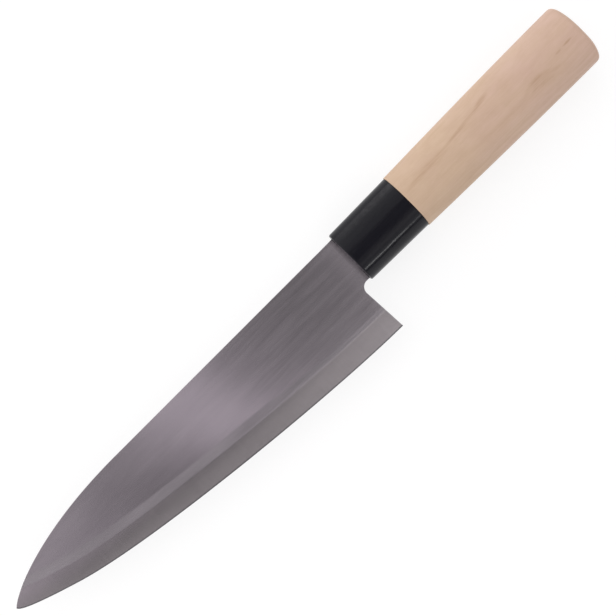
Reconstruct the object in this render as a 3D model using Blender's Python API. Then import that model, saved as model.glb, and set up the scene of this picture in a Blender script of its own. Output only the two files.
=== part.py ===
"""Gyuto: a Japanese chef's knife with a ground bevel, a black ferrule and a magnolia handle.

The knife lies on its side. Each piece is built in the knife's own axes, which start where the
handle's centre line meets the ferrule's front face: +X runs to the butt, +Y to the spine and +Z
out of the upper side. One empty then carries the whole knife to its resting place, with the origin
under the middle of the knife at the level of its lowest point.
"""

import bpy
import bmesh
import numpy as np
from math import acos, cos, pi, radians, sin, sqrt, tan
from mathutils import Vector
from mathutils.geometry import interpolate_bezier

# The blade's outline, in metres. Its places run forward from the ferrule's front face.
BLADE_LENGTH = 0.1800           # heel corner to tip, along the knife
HEEL_AHEAD = 0.0039             # ferrule to heel corner
HEEL_DEPTH = 0.0424             # spine to edge at the heel corner
SPINE_ABOVE_AXIS = 0.00995      # straight spine above the handle's centre line
TIP_DROP = 0.0146               # tip below the straight spine
SPINE_STRAIGHT = 0.1165         # ferrule to where the spine starts to fall
SPINE_FALL_HANDLE = 0.0432      # how long the falling spine keeps its first direction
SPINE_TIP_HANDLE = 0.0044
SPINE_TIP_SLOPE = radians(50)
BELLY_FROM_HEEL = 0.1560        # heel corner to where the edge turns up towards the tip
BELLY_RISE = 0.0182             # edge there above the heel corner
BELLY_SLOPE = radians(17)
HEEL_EDGE_HANDLE = 0.0323
BELLY_HEEL_HANDLE = 0.0331
BELLY_TIP_HANDLE = 0.0252
EDGE_TIP_HANDLE = 0.0011
EDGE_TIP_SLOPE = radians(45)
HEEL_LEAN = radians(3.0)        # the heel's back edge leans forward as it rises
CHOIL_RADIUS = 0.0032           # hollow corner between the heel and the neck
NECK_DEPTH = 0.0206             # spine to the underside of the neck

# The blade's thickness and grinds.
PLATE_THICKNESS = 0.0020        # neck, tang and heel
TIP_THICKNESS = 0.0012          # where the tapering flats would end, at the tip
BEVEL_WIDTH_HEEL = 0.0091
BEVEL_WIDTH_TIP = 0.0073
BLEND_WIDTH_HEEL = 0.0018       # soft facet between the flat and the bevel
BLEND_WIDTH_TIP = 0.0036
BLEND_RELIEF = 0.00012          # steel that the soft facet has lost where the bevel starts
EDGE_BEVEL_WIDTH = 0.0005       # fine second bevel that carries the cutting edge
EDGE_BEVEL_THICKNESS = 0.00030  # steel left where the fine bevel starts

# The tang, hidden in the handle.
TANG_LENGTH = 0.0850
TANG_ROOT_DEPTH = 0.0100
TANG_END_DEPTH = 0.0060
TANG_PAST_FACE = 0.0030         # straight stretch inside the ferrule, before it tapers

# The ferrule.
FERRULE_LENGTH = 0.0302
FERRULE_FRONT_DEPTH = 0.0234    # spine side to edge side
FERRULE_REAR_DEPTH = 0.0243
FERRULE_FRONT_THICKNESS = 0.0176
FERRULE_REAR_THICKNESS = 0.0184
FERRULE_WALL = 0.0022
FERRULE_FACE = 0.0030           # its closed front
FERRULE_FRONT_ROUND = 0.0007

# The handle.
HANDLE_LENGTH = 0.0917          # seen length, behind the ferrule
HANDLE_PROUD = 0.0003           # the wood stands this much over the ferrule all round
HANDLE_BUTT_DEPTH = 0.0273
HANDLE_BUTT_THICKNESS = 0.0208
FRONT_EDGE_BREAK = 0.0002       # sanded corner where the wood meets the ferrule
BUTT_ROUNDING = 0.0036          # length over which the butt rounds off
BUTT_SQUARENESS = 4             # 2 is a half ellipse, more is squarer
BUTT_FLAT_SHARE = 0.30          # middle of the butt that is left flat

# The soft ridge along the upper side, which the fingers close on.
RIDGE_TURN = radians(42)        # from the crown of the upper side towards the edge side
RIDGE_RISE = 0.0010
RIDGE_SPREAD = radians(48)
RIDGE_SOFTNESS = radians(3.5)

# The hardened resin round the tang.
BEDDING_WALL = 0.0012
BEDDING_BEYOND_TANG = 0.0030

# Gap between surfaces that fit in one another.
FIT_GAP = 0.0003

# Shading keeps corners sharper than these angles crisp.
HANDLE_CREASE = radians(25)
GRIND_CREASE = radians(2)

# Points closer than this, at the tip and along the edge, are one.
SAME_PLACE = 1e-6

# How finely the curves are cut.
CURVE_POINTS = 60
SPINE_POINTS_PER_RIB = 2
SLOPE_READINGS = 360            # the edge's slope is read over this share of its length
STRAIGHT_SPINE_RIBS = 12
CHOIL_STEPS = 8
TANG_END_STEPS = 8
SECTION_POINTS = 80
HANDLE_STEPS = 8
BUTT_STEPS = 9
ROUND_STEPS = 4
SLOT_END_STEPS = 8

STEEL = ("stainless_steel", (0.42, 0.41, 0.42), 0.32, 1.0)
PLASTIC = ("black_plastic", (0.012, 0.012, 0.014), 0.25, 0.0)
MAGNOLIA = ("magnolia", (0.72, 0.53, 0.37), 0.60, 0.0)
RESIN = ("amber_resin", (0.45, 0.33, 0.16), 0.45, 0.0)


def clear_scene():
    for old in list(bpy.data.objects):
        bpy.data.objects.remove(old, do_unlink=True)


def make_material(finish):
    name, colour, roughness, metallic = finish
    material = bpy.data.materials.new(name)
    material.use_nodes = True
    shader = material.node_tree.nodes["Principled BSDF"]
    shader.inputs["Base Color"].default_value = (*colour, 1.0)
    shader.inputs["Roughness"].default_value = roughness
    shader.inputs["Metallic"].default_value = metallic
    return material


def blend(start, end, share):
    return start + (end - start) * share


def add_object(name, bm, finish, parent, place=(0, 0, 0), crease=HANDLE_CREASE):
    """Turn a bmesh into a smooth-shaded object, with sharp edges past the crease angle."""
    bmesh.ops.recalc_face_normals(bm, faces=bm.faces)
    mesh = bpy.data.meshes.new(name)
    bm.to_mesh(mesh)
    bm.free()
    mesh.shade_smooth()
    mesh.set_sharp_from_angle(angle=crease)
    piece = bpy.data.objects.new(name, mesh)
    bpy.context.scene.collection.objects.link(piece)
    piece.parent = parent
    piece.location = place
    if finish:
        mesh.materials.append(make_material(finish))
    return piece


def loft(bm, rings):
    """Skin a row of closed rings and close both ends with a flat face."""
    rows = [[bm.verts.new(point) for point in each] for each in rings]
    count = len(rows[0])
    for front, rear in zip(rows, rows[1:]):
        for i in range(count):
            j = (i + 1) % count
            bm.faces.new((front[i], front[j], rear[j], rear[i]))
    bm.faces.new(rows[0])
    bm.faces.new(rows[-1])


def cut(piece, name, bm, place):
    """Subtract a closed cutter from a piece."""
    cutter = add_object(name, bm, None, piece.parent, place)
    cutter.hide_render = True
    cutter.display_type = "WIRE"
    boolean = piece.modifiers.new(name, "BOOLEAN")
    boolean.operation = "DIFFERENCE"
    boolean.solver = "EXACT"
    boolean.object = cutter


# Places that several pieces share, in the knife's own axes.
HEEL_X = -HEEL_AHEAD
HEEL_Y = SPINE_ABOVE_AXIS - HEEL_DEPTH
TIP_X = HEEL_X - BLADE_LENGTH
TIP_Y = SPINE_ABOVE_AXIS - TIP_DROP
NECK_Y = SPINE_ABOVE_AXIS - NECK_DEPTH
CHOIL_CORNER_X = HEEL_X - (NECK_Y - HEEL_Y) * tan(HEEL_LEAN)
LAST_RIB_X = CHOIL_CORNER_X - CHOIL_RADIUS
TANG_STRAIGHT = FERRULE_FACE + TANG_PAST_FACE
TENON_X = FERRULE_FACE + FIT_GAP
SHOULDER_X = FERRULE_LENGTH
BUTT_X = SHOULDER_X + HANDLE_LENGTH
BEDDING_DEPTH = TANG_ROOT_DEPTH + 2 * (FIT_GAP + BEDDING_WALL)
BEDDING_WIDTH = PLATE_THICKNESS + 2 * (FIT_GAP + BEDDING_WALL)
BEDDING_END_X = TANG_LENGTH + BEDDING_BEYOND_TANG


def curve_points(start, start_handle, end_handle, end):
    corners = [Vector(point).to_3d() for point in (start, start_handle, end_handle, end)]
    return [(point.x, point.y) for point in interpolate_bezier(*corners, CURVE_POINTS)]


def spine_curve():
    """The falling part of the spine, from the end of its straight part to the tip."""
    start_handle = (-SPINE_STRAIGHT - SPINE_FALL_HANDLE, SPINE_ABOVE_AXIS)
    tip_handle = (TIP_X + SPINE_TIP_HANDLE * cos(SPINE_TIP_SLOPE),
                  TIP_Y + SPINE_TIP_HANDLE * sin(SPINE_TIP_SLOPE))
    return curve_points((-SPINE_STRAIGHT, SPINE_ABOVE_AXIS), start_handle, tip_handle, (TIP_X, TIP_Y))


def edge_curve():
    """The cutting edge from the heel corner to the tip, in two stretches that meet smoothly."""
    belly = (HEEL_X - BELLY_FROM_HEEL, HEEL_Y + BELLY_RISE)
    heel_handle = (HEEL_X - HEEL_EDGE_HANDLE, HEEL_Y)
    heel_side = (belly[0] + BELLY_HEEL_HANDLE * cos(BELLY_SLOPE),
                 belly[1] - BELLY_HEEL_HANDLE * sin(BELLY_SLOPE))
    tip_side = (belly[0] - BELLY_TIP_HANDLE * cos(BELLY_SLOPE),
                belly[1] + BELLY_TIP_HANDLE * sin(BELLY_SLOPE))
    tip_handle = (TIP_X + EDGE_TIP_HANDLE * cos(EDGE_TIP_SLOPE),
                  TIP_Y - EDGE_TIP_HANDLE * sin(EDGE_TIP_SLOPE))
    heel_part = curve_points((HEEL_X, HEEL_Y), heel_handle, heel_side, belly)
    tip_part = curve_points(belly, tip_side, tip_handle, (TIP_X, TIP_Y))
    return heel_part + tip_part[1:]


SPINE = spine_curve()
EDGE = edge_curve()


def height_of(curve, x):
    """Height of a curve that runs towards the tip, level past its ends."""
    places, heights = zip(*reversed(curve))
    return float(np.interp(x, places, heights))


def slope_of(curve, x):
    reach = BLADE_LENGTH / SLOPE_READINGS
    return (height_of(curve, x + reach) - height_of(curve, x - reach)) / (2 * reach)


def towards_tip(x):
    """0 at the last rib before the heel, 1 at the tip."""
    return min(1.0, max(0.0, (LAST_RIB_X - x) / (LAST_RIB_X - TIP_X)))


def rib(x):
    """One cross-section of the blade's side, as (height, half thickness) from spine to edge."""
    share = towards_tip(x)
    spine = height_of(SPINE, x)
    edge = height_of(EDGE, x)
    stretch = sqrt(1 + slope_of(EDGE, x) ** 2)
    bevel_width = blend(BEVEL_WIDTH_HEEL, BEVEL_WIDTH_TIP, share)
    blend_width = blend(BLEND_WIDTH_HEEL, BLEND_WIDTH_TIP, share)
    flat = blend(PLATE_THICKNESS, TIP_THICKNESS, share) / 2
    widths = (0, EDGE_BEVEL_WIDTH, bevel_width, bevel_width + blend_width)
    halves = (0, EDGE_BEVEL_THICKNESS / 2, flat - BLEND_RELIEF, flat)
    depth = (spine - edge) / stretch
    steps = [(edge + min(width, depth) * stretch, float(np.interp(min(width, depth), widths, halves)))
             for width in widths]
    return [(spine, float(np.interp(depth, widths, halves)))] + steps[::-1]


def rib_places():
    """Ribs from the tip, close together where the spine falls, to the last one before the heel."""
    falling = [x for x, y in SPINE[:0:-SPINE_POINTS_PER_RIB]]
    step = (LAST_RIB_X + SPINE_STRAIGHT) / STRAIGHT_SPINE_RIBS
    straight = [-SPINE_STRAIGHT + i * step for i in range(STRAIGHT_SPINE_RIBS + 1)]
    return falling + straight


def tang_outline(gap):
    """The tang from the root's spine side round its end to the root's edge side."""
    root = TANG_ROOT_DEPTH / 2 + gap
    end = TANG_END_DEPTH / 2 + gap
    centre_x = TANG_LENGTH - TANG_END_DEPTH / 2
    turns = [pi / 2 - pi * i / TANG_END_STEPS for i in range(TANG_END_STEPS + 1)]
    rounded = [(centre_x + end * cos(turn), end * sin(turn)) for turn in turns]
    return [(0, root), (TANG_STRAIGHT, root)] + rounded + [(TANG_STRAIGHT, -root), (0, -root)]


def choil_outline():
    """The hollow corner from the neck's underside to the heel's back edge."""
    centre_x = CHOIL_CORNER_X + CHOIL_RADIUS * (1 + sin(HEEL_LEAN)) / cos(HEEL_LEAN)
    centre_y = NECK_Y - CHOIL_RADIUS
    turn = pi / 2 + HEEL_LEAN
    turns = [pi / 2 + turn * i / CHOIL_STEPS for i in range(CHOIL_STEPS + 1)]
    return [(centre_x + CHOIL_RADIUS * cos(angle), centre_y + CHOIL_RADIUS * sin(angle)) for angle in turns]


def blade_side(bm, side):
    """One side of the blade. Returns its rim from the tip round the tang to the heel corner."""
    rows = [[bm.verts.new((x, y, side * half)) for y, half in rib(x)] for x in rib_places()]
    for front, rear in zip(rows, rows[1:]):
        for j in range(len(front) - 1):
            bm.faces.new((front[j], rear[j], rear[j + 1], front[j + 1]))

    # The heel's back edge, where each grind ends.
    half = PLATE_THICKNESS / 2
    grinds = ((BEVEL_WIDTH_HEEL + BLEND_WIDTH_HEEL, half), (BEVEL_WIDTH_HEEL, half - BLEND_RELIEF),
              (EDGE_BEVEL_WIDTH, EDGE_BEVEL_THICKNESS / 2), (0, 0))
    heel = [bm.verts.new((HEEL_X - width * sin(HEEL_LEAN), HEEL_Y + width * cos(HEEL_LEAN), side * thick))
            for width, thick in grinds]
    last = rows[-1]
    for j in range(3):
        bm.faces.new((last[j + 1], heel[j], heel[j + 1], last[j + 2]))

    # The flat runs on through the neck into the tang.
    outline = [(0, SPINE_ABOVE_AXIS)] + tang_outline(0) + [(0, NECK_Y)] + choil_outline()
    flat = [bm.verts.new((x, y, side * half)) for x, y in outline]
    bm.faces.new([last[0]] + flat + [heel[0], last[1]])
    return [row[0] for row in rows] + flat + heel


def make_blade(knife):
    bm = bmesh.new()
    upper = blade_side(bm, 1)
    lower = blade_side(bm, -1)
    for i in range(len(upper) - 1):
        bm.faces.new((upper[i], upper[i + 1], lower[i + 1], lower[i]))
    bmesh.ops.remove_doubles(bm, verts=bm.verts, dist=SAME_PLACE)
    return add_object("blade", bm, STEEL, knife, crease=GRIND_CREASE)


# The handle's oval section, which the ferrule shares.

def section(depth, thickness):
    """An oval with a soft ridge on its upper side, as (y, z) points all the way round."""
    points = []
    for i in range(SECTION_POINTS):
        turn = 2 * pi * i / SECTION_POINTS - pi
        oval = 1 / sqrt((2 * cos(turn) / thickness) ** 2 + (2 * sin(turn) / depth) ** 2)
        away = sqrt((turn - RIDGE_TURN) ** 2 + RIDGE_SOFTNESS ** 2)
        ridge = RIDGE_RISE * max(0.0, 1 - away / RIDGE_SPREAD) ** 2
        radius = oval + ridge
        points.append((-radius * sin(turn), radius * cos(turn)))
    return points


def ring(x, depth, thickness):
    return [(x, y, z) for y, z in section(depth, thickness)]


def ferrule_section(x, inset):
    """Depth and thickness of the ferrule at a place along it, drawn in by an inset all round."""
    share = x / FERRULE_LENGTH
    depth = blend(FERRULE_FRONT_DEPTH, FERRULE_REAR_DEPTH, share)
    thickness = blend(FERRULE_FRONT_THICKNESS, FERRULE_REAR_THICKNESS, share)
    return depth - 2 * inset, thickness - 2 * inset


def box(bm, low, high):
    corners = bmesh.ops.create_cube(bm, size=1)["verts"]
    for vert in corners:
        vert.co = [blend(low[k], high[k], vert.co[k] + 0.5) for k in range(3)]


def slot_bar(bm, start, end, depth, width):
    """A bar along x with flat sides and round ends in its section."""
    radius = width / 2
    middle = depth / 2 - radius
    outline = []
    for turned, centre in ((0, middle), (pi, -middle)):
        for i in range(SLOT_END_STEPS + 1):
            turn = turned + pi * i / SLOT_END_STEPS
            outline.append((centre + radius * sin(turn), radius * cos(turn)))
    loft(bm, [[(x, y, z) for y, z in outline] for x in (start, end)])


def prism(bm, outline, half_height):
    """A flat outline in x and y, given thickness to both sides of z = 0."""
    face = bm.faces.new([bm.verts.new((x, y, -half_height)) for x, y in outline])
    grown = bmesh.ops.extrude_face_region(bm, geom=[face])["geom"]
    moved = [item for item in grown if isinstance(item, bmesh.types.BMVert)]
    bmesh.ops.translate(bm, vec=(0, 0, 2 * half_height), verts=moved)


def make_ferrule(knife):
    rings = []
    for i in range(ROUND_STEPS + 1):
        turn = pi / 2 * i / ROUND_STEPS
        x = FERRULE_FRONT_ROUND * (1 - sin(turn))
        inset = FERRULE_FRONT_ROUND * (1 - cos(turn))
        rings.insert(0, ring(x, *ferrule_section(x, inset)))
    rings.append(ring(FERRULE_LENGTH, *ferrule_section(FERRULE_LENGTH, 0)))
    rings.append(ring(FERRULE_LENGTH, *ferrule_section(FERRULE_LENGTH, FERRULE_WALL)))
    rings.append(ring(FERRULE_FACE, *ferrule_section(FERRULE_FACE, FERRULE_WALL)))
    bm = bmesh.new()
    loft(bm, rings)
    ferrule = add_object("ferrule", bm, PLASTIC, knife)

    # The slot that the tang passes through.
    slot = bmesh.new()
    half_depth = TANG_ROOT_DEPTH / 2 + FIT_GAP
    half_width = PLATE_THICKNESS / 2 + FIT_GAP
    box(slot, (-FERRULE_FACE, -half_depth, -half_width), (2 * FERRULE_FACE, half_depth, half_width))
    cut(ferrule, "tang_slot_cutter", slot, (0, 0, 0))
    return ferrule


def handle_section(share):
    """Depth and thickness of the wood, which swells quickly at first and then levels off."""
    swell = sin(share * pi / 2)
    front_depth, front_thickness = ferrule_section(FERRULE_LENGTH, -HANDLE_PROUD)
    return (blend(front_depth, HANDLE_BUTT_DEPTH, swell),
            blend(front_thickness, HANDLE_BUTT_THICKNESS, swell))


def butt_rings():
    """The rounded end, from the full section down to a flat middle."""
    power = 2 / BUTT_SQUARENESS
    last_turn = acos(BUTT_FLAT_SHARE ** (1 / power))
    full = section(HANDLE_BUTT_DEPTH, HANDLE_BUTT_THICKNESS)
    rings = []
    for i in range(1, BUTT_STEPS + 1):
        turn = last_turn * i / BUTT_STEPS
        x = BUTT_X - BUTT_ROUNDING * (1 - (sin(turn) / sin(last_turn)) ** power)
        scale = cos(turn) ** power
        rings.append([(x, y * scale, z * scale) for y, z in full])
    return rings


def make_handle(knife):
    tenon_inset = FERRULE_WALL + FIT_GAP
    rings = [ring(TENON_X, *ferrule_section(TENON_X, tenon_inset)),
             ring(SHOULDER_X, *ferrule_section(SHOULDER_X, tenon_inset))]
    depth, thickness = handle_section(0)
    rings.append(ring(SHOULDER_X, depth - 2 * FRONT_EDGE_BREAK, thickness - 2 * FRONT_EDGE_BREAK))
    front = SHOULDER_X + FRONT_EDGE_BREAK
    rear = BUTT_X - BUTT_ROUNDING
    for i in range(HANDLE_STEPS + 1):
        share = i / HANDLE_STEPS
        rings.append(ring(blend(front, rear, share), *handle_section(share)))
    rings += butt_rings()
    bm = bmesh.new()
    loft(bm, [[(x - SHOULDER_X, y, z) for x, y, z in each] for each in rings])
    handle = add_object("handle", bm, MAGNOLIA, knife, (SHOULDER_X, 0, 0))

    # The bore for the tang and its bedding.
    bore = bmesh.new()
    length = BEDDING_END_X + FIT_GAP - TENON_X
    slot_bar(bore, -FIT_GAP, length, BEDDING_DEPTH + 2 * FIT_GAP, BEDDING_WIDTH + 2 * FIT_GAP)
    cut(handle, "bore_cutter", bore, (TENON_X, 0, 0))
    return handle


def make_tang_bedding(knife):
    bm = bmesh.new()
    slot_bar(bm, 0, BEDDING_END_X - TENON_X, BEDDING_DEPTH, BEDDING_WIDTH)
    bedding = add_object("tang_bedding", bm, RESIN, knife, (TENON_X, 0, 0))
    tang = bmesh.new()
    prism(tang, tang_outline(FIT_GAP), PLATE_THICKNESS / 2 + FIT_GAP)
    cut(bedding, "tang_cutter", tang, (0, 0, 0))
    return bedding


def make_knife():
    """An empty on which everything rides, placed so that the origin is under the knife's middle."""
    knife = bpy.data.objects.new("knife", None)
    bpy.context.scene.collection.objects.link(knife)
    middle_x = (TIP_X + BUTT_X) / 2
    middle_y = (HEEL_Y + HANDLE_BUTT_DEPTH / 2) / 2
    knife.location = (-middle_x, -middle_y, HANDLE_BUTT_THICKNESS / 2)
    make_blade(knife)
    make_ferrule(knife)
    make_handle(knife)
    make_tang_bedding(knife)


clear_scene()
make_knife()
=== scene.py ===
from math import acos, cos, pi, radians, sin, sqrt, tan

import bmesh
import bpy
import numpy as np
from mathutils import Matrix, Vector
from mathutils.geometry import interpolate_bezier


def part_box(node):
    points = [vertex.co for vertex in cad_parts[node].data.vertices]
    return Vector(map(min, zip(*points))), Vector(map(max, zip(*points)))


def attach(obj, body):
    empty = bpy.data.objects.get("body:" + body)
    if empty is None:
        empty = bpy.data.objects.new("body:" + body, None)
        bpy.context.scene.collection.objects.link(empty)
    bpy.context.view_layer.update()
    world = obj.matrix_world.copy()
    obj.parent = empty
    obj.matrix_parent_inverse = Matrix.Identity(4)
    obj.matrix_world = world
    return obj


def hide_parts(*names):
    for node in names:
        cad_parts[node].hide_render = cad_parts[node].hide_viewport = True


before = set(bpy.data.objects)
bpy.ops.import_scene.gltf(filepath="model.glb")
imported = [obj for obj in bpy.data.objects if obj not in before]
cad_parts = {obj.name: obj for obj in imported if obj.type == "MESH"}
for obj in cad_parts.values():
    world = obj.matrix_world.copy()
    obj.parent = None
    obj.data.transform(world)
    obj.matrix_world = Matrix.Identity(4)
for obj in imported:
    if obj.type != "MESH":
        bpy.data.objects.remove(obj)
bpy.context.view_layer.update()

# Looks of a gyuto: a satin steel blade with a ground bevel, a black ferrule and a magnolia handle.
# The pieces are built in the knife's own axes, which start where the handle's centre line meets the
# ferrule's front face: +X runs to the butt, +Y to the spine and +Z out of the upper side.

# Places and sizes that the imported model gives.
blade_low, blade_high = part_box("blade")
ferrule_low, ferrule_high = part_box("ferrule")
handle_low, handle_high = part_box("handle")
KNIFE = Vector((ferrule_low.x, (ferrule_low.y + ferrule_high.y) / 2, (blade_low.z + blade_high.z) / 2))
TIP_X = blade_low.x - KNIFE.x
SPINE_Y = blade_high.y - KNIFE.y
HEEL_Y = blade_low.y - KNIFE.y
TANG_END_X = blade_high.x - KNIFE.x
PLATE_THICKNESS = blade_high.z - blade_low.z
FERRULE_LENGTH = ferrule_high.x - ferrule_low.x
FERRULE_REAR_DEPTH = ferrule_high.y - ferrule_low.y
FERRULE_REAR_THICKNESS = 2 * (KNIFE.z - ferrule_low.z)
BUTT_X = handle_high.x - KNIFE.x
TENON_X = handle_low.x - KNIFE.x
BUTT_DEPTH = handle_high.y - handle_low.y
BUTT_THICKNESS = 2 * (KNIFE.z - handle_low.z)

# The blade's outline and grinds, as in the solids.
HEEL_AHEAD = 0.0039
TIP_DROP = 0.0146
SPINE_STRAIGHT = 0.1165
SPINE_FALL_HANDLE = 0.0432
SPINE_TIP_HANDLE = 0.0044
SPINE_TIP_SLOPE = radians(50)
BELLY_FROM_HEEL = 0.1560
BELLY_RISE = 0.0182
BELLY_SLOPE = radians(17)
HEEL_EDGE_HANDLE = 0.0323
BELLY_HEEL_HANDLE = 0.0331
BELLY_TIP_HANDLE = 0.0252
EDGE_TIP_HANDLE = 0.0011
EDGE_TIP_SLOPE = radians(45)
HEEL_LEAN = radians(3.0)
CHOIL_RADIUS = 0.0032
NECK_DEPTH = 0.0206
TIP_THICKNESS = 0.0012
BEVEL_WIDTHS = (0.0091, 0.0073)         # at the heel and at the tip
BLEND_WIDTHS = (0.0018, 0.0036)
BLEND_RELIEF = 0.00012
EDGE_BEVEL_WIDTH = 0.0005
EDGE_BEVEL_THICKNESS = 0.00030
TANG_ROOT_DEPTH = 0.0100
TANG_END_DEPTH = 0.0060
TANG_PAST_FACE = 0.0030

# The ferrule and the handle, as in the solids.
FERRULE_FRONT_DEPTH = 0.0234
FERRULE_FRONT_THICKNESS = 0.0176
FERRULE_WALL = 0.0022
FERRULE_FACE = 0.0030
FERRULE_FRONT_ROUND = 0.0007
HANDLE_PROUD = 0.0003
FRONT_EDGE_BREAK = 0.0002
BUTT_ROUNDING = 0.0036
BUTT_SQUARENESS = 4
BUTT_FLAT_SHARE = 0.30          # middle of the butt that is left flat
RIDGE_TURN = radians(42)
RIDGE_RISE = 0.0010
RIDGE_SPREAD = radians(48)
RIDGE_SOFTNESS = radians(3.5)
BEDDING_WALL = 0.0012
BEDDING_BEYOND_TANG = 0.0030
FIT_GAP = 0.0003

# Places on the blade that follow from these.
HEEL_X = -HEEL_AHEAD
TIP_Y = SPINE_Y - TIP_DROP
NECK_Y = SPINE_Y - NECK_DEPTH
CHOIL_CORNER_X = HEEL_X - (NECK_Y - HEEL_Y) * tan(HEEL_LEAN)
LAST_RIB_X = CHOIL_CORNER_X - CHOIL_RADIUS
TANG_STRAIGHT = FERRULE_FACE + TANG_PAST_FACE

# Fine shape that only the looks have.
BEVEL_CROWN = 0.00003           # the ground bevel swells this much in the middle of its width
EASED_CORNER = 0.00014          # rounding of the spine, heel and neck corners
FULLY_EASED_FROM = 3 * EASED_CORNER     # half the thickness from which the rounding is full
FERRULE_REAR_ROUND = 0.00015

# How finely the blade is cut. The strips run along it, counted from the spine to the edge.
CURVE_POINTS = 160
STRAIGHT_SPINE_RIBS = 90
ARC_POINTS = 17
CORNER_SEGMENTS = 3
FLAT_STRIPS = 6
BLEND_STRIPS = 4
BEVEL_STRIPS = 8
EDGE_BEVEL_STRIPS = 1
BEVEL_ROW = FLAT_STRIPS + BLEND_STRIPS
EDGE_BEVEL_ROW = BEVEL_ROW + BEVEL_STRIPS
EDGE_ROW = EDGE_BEVEL_ROW + EDGE_BEVEL_STRIPS
SAME_PLACE = 1e-6
SLOPE_REACH = 0.0005            # to both sides of where a curve's slope is taken

# How finely the ferrule and the handle are cut, and the angles from which their edges stay crisp.
SECTION_POINTS = 192
FERRULE_STEPS = 12
FERRULE_ROUND_STEPS = 5
BORE_END_POINTS = 13
FRONT_BREAK_STEPS = 4
HANDLE_STEPS = 40
BUTT_STEPS = 22
FERRULE_CREASE = radians(30)
HANDLE_CREASE = radians(40)

# The camera stands square over the blade, as the photograph's did.
CAMERA_HEIGHT = 0.551           # above the blade's middle plane
CAMERA_X = -0.02475             # ahead of the ferrule's front face
CAMERA_Y = -0.00217
CAMERA_LENS = 84.7
CAMERA_TURN = radians(-45)


# Small helpers for meshes.

def blend(start, end, share):
    return start + (end - start) * share


def new_piece(name, bm, material):
    """Turn a bmesh in the knife's axes into a smooth piece at the knife's place."""
    bmesh.ops.recalc_face_normals(bm, faces=bm.faces)
    for face in bm.faces:
        face.smooth = True
    mesh = bpy.data.meshes.new(name)
    bm.to_mesh(mesh)
    bm.free()
    mesh.materials.append(material)
    piece = bpy.data.objects.new(name, mesh)
    piece.location = KNIFE
    bpy.context.scene.collection.objects.link(piece)
    return piece


def loft(bm, rings):
    """Skin a row of closed rings and close both ends with a flat face."""
    rows = [[bm.verts.new(point) for point in each] for each in rings]
    count = len(rows[0])
    for front, rear in zip(rows, rows[1:]):
        for i in range(count):
            j = (i + 1) % count
            bm.faces.new((front[i], front[j], rear[j], rear[i]))
    bm.faces.new(rows[0])
    bm.faces.new(rows[-1])


# The blade's outline.

def curve_points(start, start_handle, end_handle, end):
    corners = [Vector(point).to_3d() for point in (start, start_handle, end_handle, end)]
    return [(point.x, point.y) for point in interpolate_bezier(*corners, CURVE_POINTS)]


def spine_curve():
    """The falling part of the spine, from the end of its straight part to the tip."""
    start_handle = (-SPINE_STRAIGHT - SPINE_FALL_HANDLE, SPINE_Y)
    tip_handle = (TIP_X + SPINE_TIP_HANDLE * cos(SPINE_TIP_SLOPE),
                  TIP_Y + SPINE_TIP_HANDLE * sin(SPINE_TIP_SLOPE))
    return curve_points((-SPINE_STRAIGHT, SPINE_Y), start_handle, tip_handle, (TIP_X, TIP_Y))


def edge_curve():
    """The cutting edge from the heel corner to the tip, in two stretches that meet smoothly."""
    belly = (HEEL_X - BELLY_FROM_HEEL, HEEL_Y + BELLY_RISE)
    heel_handle = (HEEL_X - HEEL_EDGE_HANDLE, HEEL_Y)
    heel_side = (belly[0] + BELLY_HEEL_HANDLE * cos(BELLY_SLOPE),
                 belly[1] - BELLY_HEEL_HANDLE * sin(BELLY_SLOPE))
    tip_side = (belly[0] - BELLY_TIP_HANDLE * cos(BELLY_SLOPE),
                belly[1] + BELLY_TIP_HANDLE * sin(BELLY_SLOPE))
    tip_handle = (TIP_X + EDGE_TIP_HANDLE * cos(EDGE_TIP_SLOPE),
                  TIP_Y - EDGE_TIP_HANDLE * sin(EDGE_TIP_SLOPE))
    heel_part = curve_points((HEEL_X, HEEL_Y), heel_handle, heel_side, belly)
    tip_part = curve_points(belly, tip_side, tip_handle, (TIP_X, TIP_Y))
    return heel_part + tip_part[1:]


SPINE = spine_curve()
EDGE = edge_curve()


def height_of(curve, x):
    """Height of a curve that runs towards the tip, level past its ends."""
    places, heights = zip(*reversed(curve))
    return float(np.interp(x, places, heights))


def slope_of(curve, x):
    return (height_of(curve, x + SLOPE_REACH) - height_of(curve, x - SLOPE_REACH)) / (2 * SLOPE_REACH)


def arc(centre_x, centre_y, radius, start, end):
    turns = np.linspace(start, end, ARC_POINTS)
    return [(centre_x + radius * cos(turn), centre_y + radius * sin(turn)) for turn in turns]


def tang_outline():
    """The tang from the root's spine side round its end to the root's edge side."""
    root = TANG_ROOT_DEPTH / 2
    end = TANG_END_DEPTH / 2
    rounded = arc(TANG_END_X - end, 0, end, pi / 2, -pi / 2)
    return [(0, root), (TANG_STRAIGHT, root)] + rounded + [(TANG_STRAIGHT, -root), (0, -root)]


def choil_outline():
    """The hollow corner from the neck's underside to the heel's back edge."""
    centre_x = CHOIL_CORNER_X + CHOIL_RADIUS * (1 + sin(HEEL_LEAN)) / cos(HEEL_LEAN)
    return arc(centre_x, NECK_Y - CHOIL_RADIUS, CHOIL_RADIUS, pi / 2, pi + HEEL_LEAN)


# The blade's grinds. A point on its side is (x, y, half thickness, distance from the edge).

def crown_of(place, bevel):
    """How far the bevel stands over a flat grind, at a distance from the edge."""
    share = (place - EDGE_BEVEL_WIDTH) / (bevel - EDGE_BEVEL_WIDTH)
    return 4 * BEVEL_CROWN * max(0.0, share * (1 - share))


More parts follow.
